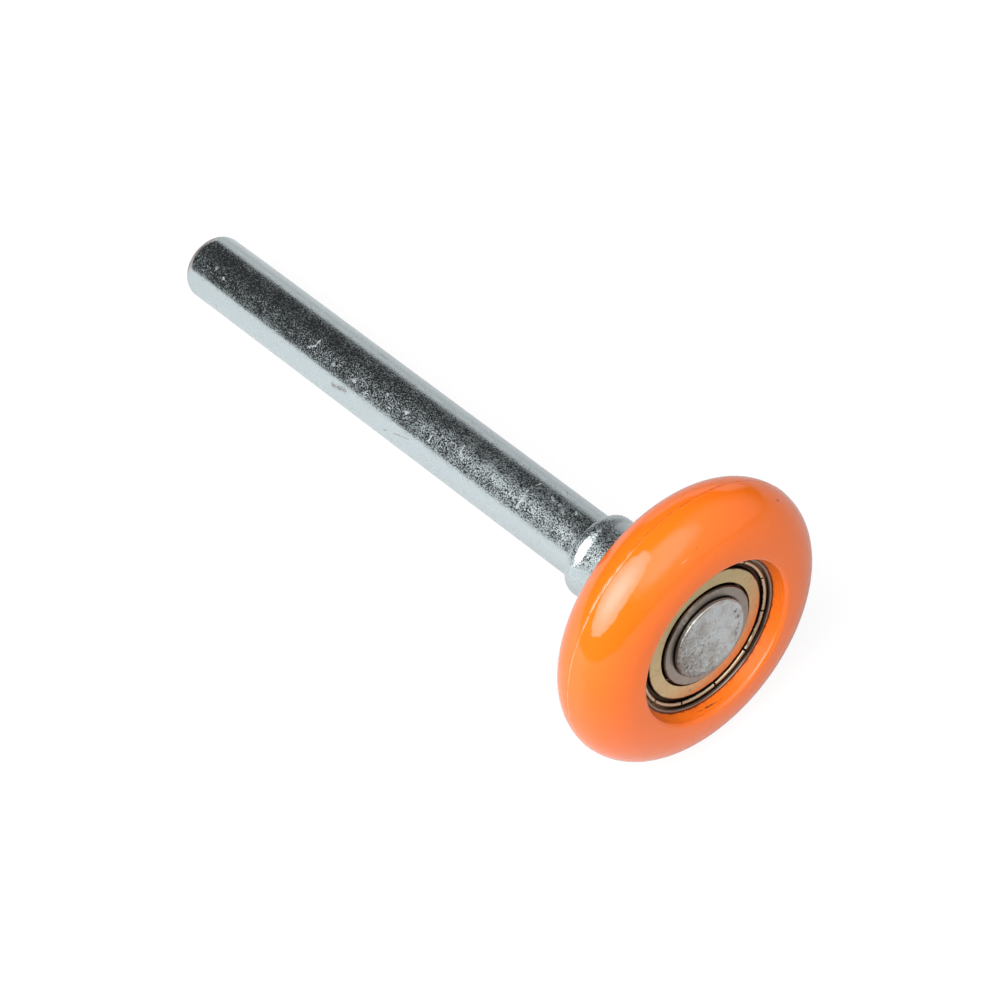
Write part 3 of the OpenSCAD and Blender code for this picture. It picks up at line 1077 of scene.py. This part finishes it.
# Ground or pressed steel, with painted shade deep inside the bearing, and painted bands of shade and
# highlight
def bearingSteel(name, values):
    material, tree, shader = newMaterial(name)
    where = useGroup(tree, axlePlace)
    place, radius, along = where["Place"], where["Radius"], where["Along"]
    cloud = noiseOf(tree, place, **values["cloud"])
    colour = blendColours(tree, cloud, values["colour"], values["colourDark"])
    blotch = patchy(tree, place, **values["blotches"])
    colour = layOver(tree, colour, blotch, values["blotchShare"], values["blotch"])
    motes = useGroup(tree, specks, Place=place, **values["motes"])["Mask"]
    colour = layOver(tree, colour, motes, values["moteShare"], values["blotch"])
    ragged = times(tree, maths(tree, "SUBTRACT", cloud, 0.5), values["bandRaggedness"])
    raggedRadius = addUp(tree, radius, ragged)
    for low, high, soft, share, tint in values["shadeAndHighlightBands"]:
        colour = layOver(tree, colour, band(tree, raggedRadius, low, high, soft), share, tint)
    # Painted shade on the surfaces deep inside the bearing
    deepShade = ease(tree, maths(tree, "ABSOLUTE", along), **values["deepShadeFade"])
    colour = blendColours(tree, deepShade, colour, values["dirtAndShade"])
    clouded = times(tree, ease(tree, cloud, **values["cloudFade"]), values["cloudRoughness"])
    rough = addUp(tree, clouded, values["roughness"])
    rings = useGroup(
        tree, turnedLines, Place=place, Radius=radius, Along=along, **values["turnedLines"]
    )
    pits = useGroup(tree, pitting, Place=place, **values["pits"])
    wireUp(tree, shader, colour, rough, addUp(tree, rings["Height"], pits["Height"]), 1.0)
    return material


ringSteel = bearingSteel("ringSteel", ringValues)
shieldPlate = bearingSteel("shieldPlate", shieldValues)
cageSteel = bearingSteel("cageSteel", cageValues)
ballSteel = bearingSteel("ballSteel", ballValues)


def dress(node, material):
    piece = frame["nodes"][node]
    piece.data.materials.clear()
    piece.data.materials.append(material)


for node in ("inner_ring", "outer_ring"):
    dress(node, ringSteel)
for node in ("shield_front", "shield_rear"):
    dress(node, shieldPlate)
for node in ("cage_front", "cage_rear", "cage_rivets"):
    dress(node, cageSteel)
for node in frame["nodes"]:
    if node.startswith("ball_"):
        dress(node, ballSteel)
print("bearing dressed")


# The studio: pale paper under the roller, with painted shade behind it and by the
# wheel that only reflections and bounced light see, one large soft lamp, and a
# room whose walls show only in the reflections
studioValues = {
    "floorSize": 6.0,
    "floorDrop": 0.0002,
    "floorColour": (0.67, 0.675, 0.685),
    # Painted shade on the floor behind the roller, and darker still by the wheel; the camera doesn't
    # see it
    "floorBackShade": (0.5, 0.505, 0.515),
    "floorBackShadeFade": {"low": -0.04, "high": 0.06},
    "floorWheelShade": (0.38, 0.385, 0.39),
    "floorWheelShadeFade": {"low": 0.05, "high": 0.1},
    "floorSeenColour": (0.15, 0.15, 0.15),
    "floorSeenGlow": 0.86,
    "floorRoughness": 0.9,
    "lampTurn": 176.0,
    "lampHeight": 48.5,
    "lampDistance": 1.0,
    "lampReach": 0.66,
    "lampFade": {"low": 0.1, "high": 0.95, "start": 7.2, "end": 3.3},
    "lampSides": 64,
    "roomShade": 0.035,
    # Soft patches: turn from +Y towards +X, height, width, all in degrees, brightness
    "patches": [
        (50.0, 34.0, 58.0, 0.52),
        (88.0, 58.0, 36.0, 1.3),
        (-165.0, 0.0, 40.0, 0.06),
    ],
    "patchMiddle": 0.45,  # the share of a patch's width that is fully bright
    "wallTurn": -46.0,
    "wallHalfTurn": 34.0,
    "wallMiddle": 0.7,
    "wallHeight": 19.0,
    "wallTopSoft": 0.008,
    "wallBright": 0.68,
}


def wayTo(turn, height):
    turn, height = math.radians(turn), math.radians(height)
    flat = math.cos(height)
    return Vector((flat * math.sin(turn), flat * math.cos(turn), math.sin(height)))


def addFloor(values):
    half = values["floorSize"] / 2
    corners = [(-half, -half, 0), (half, -half, 0), (half, half, 0), (-half, half, 0)]
    floor = addMesh("floor", corners, [(0, 1, 2, 3)])
    floor.location.z = -values["floorDrop"]
    material, tree, shader = newMaterial("floorPaper")
    seen = addNode(tree, "ShaderNodeLightPath").outputs["Is Camera Ray"]
    split = addNode(tree, "ShaderNodeSeparateXYZ")
    tree.links.new(addNode(tree, "ShaderNodeTexCoord").outputs["Object"], split.inputs[0])
    # Painted shade behind the roller and beside the wheel, hidden from the camera
    wheelShade = ease(tree, split.outputs[0], **values["floorWheelShadeFade"])
    back = ease(tree, split.outputs[1], **values["floorBackShadeFade"])
    colour = blendColours(tree, back, values["floorColour"], values["floorBackShade"])
    colour = blendColours(tree, wheelShade, colour, values["floorWheelShade"])
    colour = blendColours(tree, seen, colour, values["floorSeenColour"])
    tree.links.new(colour, shader.inputs["Base Color"])
    shader.inputs["Roughness"].default_value = values["floorRoughness"]
    shader.inputs["Specular IOR Level"].default_value = 0.0
    shader.inputs["Emission Color"].default_value = (1.0, 1.0, 1.0, 1.0)
    glow = times(tree, seen, values["floorSeenGlow"])
    tree.links.new(glow, shader.inputs["Emission Strength"])
    floor.data.materials.append(material)


def addRoom(values):
    world = bpy.data.worlds.new("room")
    bpy.context.scene.world = world
    world.use_nodes = True
    tree = world.node_tree
    way = addNode(tree, "ShaderNodeTexCoord").outputs["Generated"]
    light = values["roomShade"]
    for turn, height, width, bright in values["patches"]:
        facing = vectorMaths(tree, "DOT_PRODUCT", way, tuple(wayTo(turn, height)))
        outer = math.cos(math.radians(width))
        inner = math.cos(math.radians(width * values["patchMiddle"]))
        light = addUp(tree, ease(tree, facing, outer, inner, end=bright), light)
    # The wall: bright up to its top, and fading to each side
    split = addNode(tree, "ShaderNodeSeparateXYZ")
    tree.links.new(way, split.inputs[0])
    top, soft = math.sin(math.radians(values["wallHeight"])), values["wallTopSoft"]
    low = ease(tree, split.outputs[2], top - soft, top + soft, start=values["wallBright"], end=0.0)
    flat = vectorMaths(tree, "NORMALIZE", joinParts(tree, split.outputs[0], split.outputs[1], 0.0))
    facing = vectorMaths(tree, "DOT_PRODUCT", flat, tuple(wayTo(values["wallTurn"], 0.0)))
    edge = math.radians(values["wallHalfTurn"])
    beside = ease(tree, facing, math.cos(edge), math.cos(values["wallMiddle"] * edge))
    light = addUp(tree, times(tree, low, beside), light)
    grey = joinParts(tree, light, light, light)
    path = addNode(tree, "ShaderNodeLightPath").outputs
    colour = blendColours(tree, path["Is Camera Ray"], grey, (1.0, 1.0, 1.0))
    tree.links.new(colour, tree.nodes["Background"].inputs["Color"])


# A round soft lamp, brighter in its middle
def addLamp(values):
    way = wayTo(values["lampTurn"], values["lampHeight"])
    reach = values["lampReach"] * values["lampDistance"]
    sides = values["lampSides"]
    points = [(0.0, 0.0, 0.0)]
    for i in range(sides):
        turn = 2 * math.pi * i / sides
        points.append((reach * math.cos(turn), reach * math.sin(turn), 0.0))
    faces = [(0, 1 + i, 1 + (i + 1) % sides) for i in range(sides)]
    lamp = addMesh("lamp", points, faces)
    lamp.location = axleCentre + way * values["lampDistance"]
    lamp.rotation_mode = "QUATERNION"
    lamp.rotation_quaternion = way.to_track_quat("Z", "Y")
    lamp.visible_camera = False
    material, tree, shader = newMaterial("lampCloth")
    shader.inputs["Base Color"].default_value = (0.0, 0.0, 0.0, 1.0)
    spot = addNode(tree, "ShaderNodeTexCoord").outputs["Object"]
    out = maths(tree, "DIVIDE", vectorMaths(tree, "LENGTH", spot), reach)
    shader.inputs["Emission Color"].default_value = (1.0, 1.0, 1.0, 1.0)
    bright = ease(tree, out, **values["lampFade"])
    tree.links.new(bright, shader.inputs["Emission Strength"])
    lamp.data.materials.append(material)


addFloor(studioValues)
addRoom(studioValues)
addLamp(studioValues)
bpy.context.scene.view_settings.view_transform = "Standard"
print("studio set")
